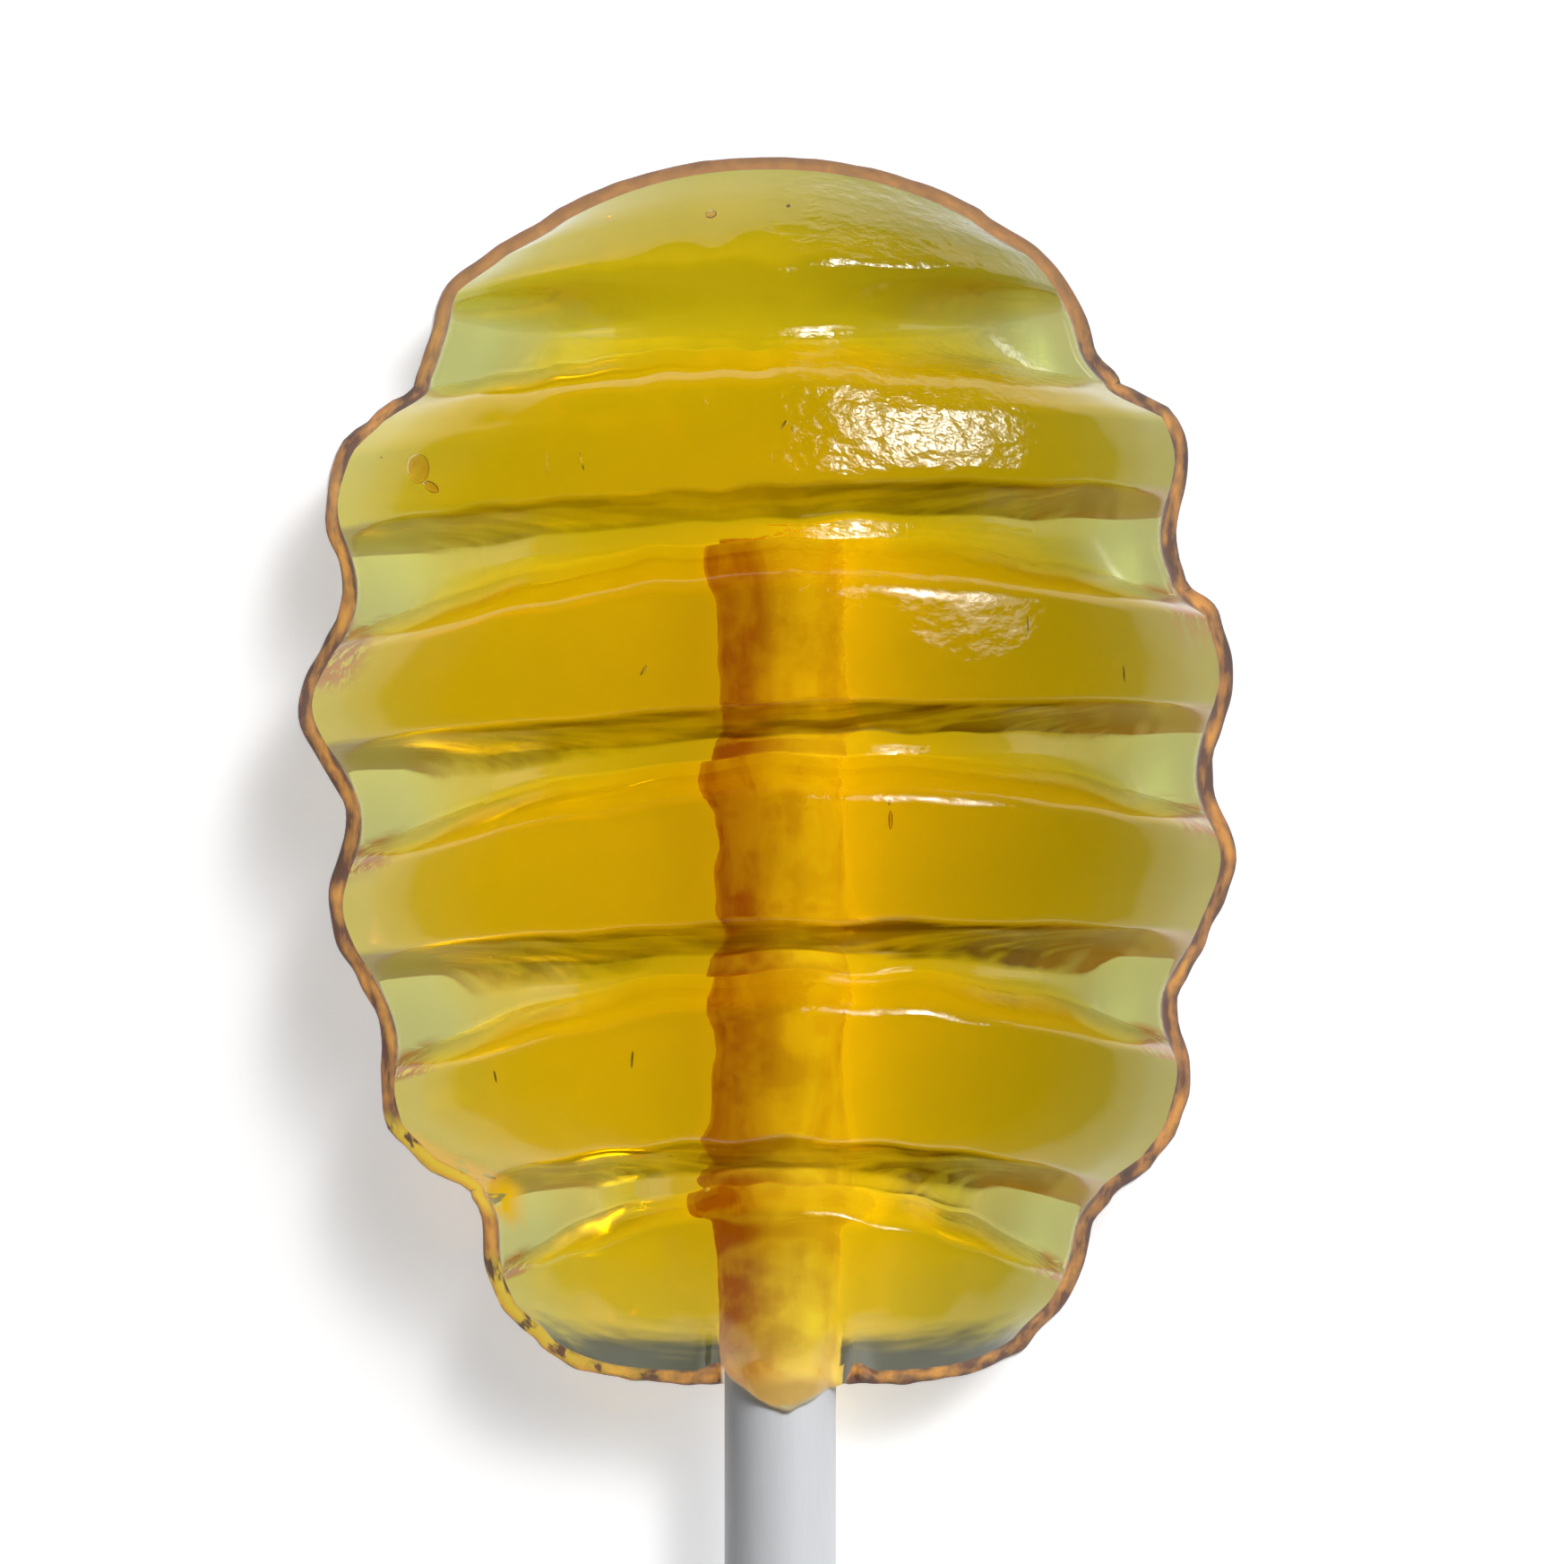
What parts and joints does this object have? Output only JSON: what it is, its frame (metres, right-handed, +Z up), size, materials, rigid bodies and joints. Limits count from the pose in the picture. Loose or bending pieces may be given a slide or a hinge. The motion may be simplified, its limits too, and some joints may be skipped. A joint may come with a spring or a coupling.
{
  "type": "honey lollipop",
  "caption": "Clear golden candy lollipop moulded as a ribbed beehive with a flat back, on a round white paper stick; it lies on its back.",
  "frame": {"origin": "on the surface that the lollipop lies on, under the middle of the whole, head and stick together", "axes": "+Y points along the stick to the top of the head, +X to the right of the shown front, +Z up out of the shown front"},
  "size_m": [0.0338, 0.1288, 0.0128],
  "materials": {
    "candy": "clear golden boiled sugar, glossy, slightly chilled and streaky on the steep faces",
    "paper": "smooth tightly rolled white paper, matt with a faint sheen"
  },
  "bodies": {
    "root": {"candy_head": "candy", "stick": "paper"}
  },
  "joints": []
}
